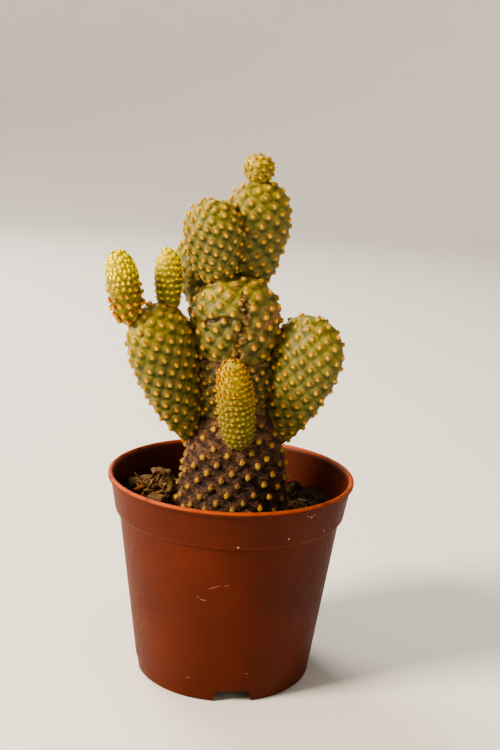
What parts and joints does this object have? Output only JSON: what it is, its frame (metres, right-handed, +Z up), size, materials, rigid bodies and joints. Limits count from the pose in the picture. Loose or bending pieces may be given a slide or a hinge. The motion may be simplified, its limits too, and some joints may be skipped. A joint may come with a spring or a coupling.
{
  "type": "potted paddle cactus",
  "caption": "Small branching paddle cactus with bristle tufts on egg-shaped pads, growing in soil in a tapered plastic nursery pot.",
  "frame": {"origin": "on the pot's axis, at the level of its foot, where it stands on a surface", "axes": "+Z up along the pot's axis, -Y towards the front, the side that the picture shows, +X to the viewer's right"},
  "size_m": [0.0868, 0.085, 0.1795],
  "materials": {
    "pot_plastic": "matte moulded plastic, terracotta coloured, with a brighter worn lip",
    "potting_soil": "dark crumbly potting mix, matte",
    "corky_skin": "brown corky old skin with golden bristle tufts, matte",
    "green_skin": "grey-green waxy skin with golden bristle tufts, satin",
    "young_skin": "yellow-green tender skin with small pointed scale leaves, satin",
    "golden_bristles": "short golden bristles in tufts, orange-brown at their roots, satin",
    "dry_bark": "dry fibrous bark, matte",
    "red_bark": "reddish bark chip, matte"
  },
  "bodies": {
    "root": {"pot": "pot_plastic", "soil": "potting_soil", "trunk_pad": "corky_skin", "neck_pad": "green_skin", "middle_pad": "green_skin", "left_pad": "green_skin", "right_pad": "green_skin", "upper_left_pad": "green_skin", "upper_right_pad": "green_skin", "back_left_pad": "green_skin", "young_front_pad": "young_skin", "young_left_pad": "young_skin", "young_outer_pad": "young_skin", "crown_bud": "young_skin", "bark_curl_tall": "dry_bark", "bark_flake_flat": "dry_bark", "bark_flake_low": "dry_bark", "bark_chunk_tall": "dry_bark", "bark_flake_back": "dry_bark", "bark_flake_right": "dry_bark", "bark_chip_red": "red_bark"}
  },
  "joints": []
}
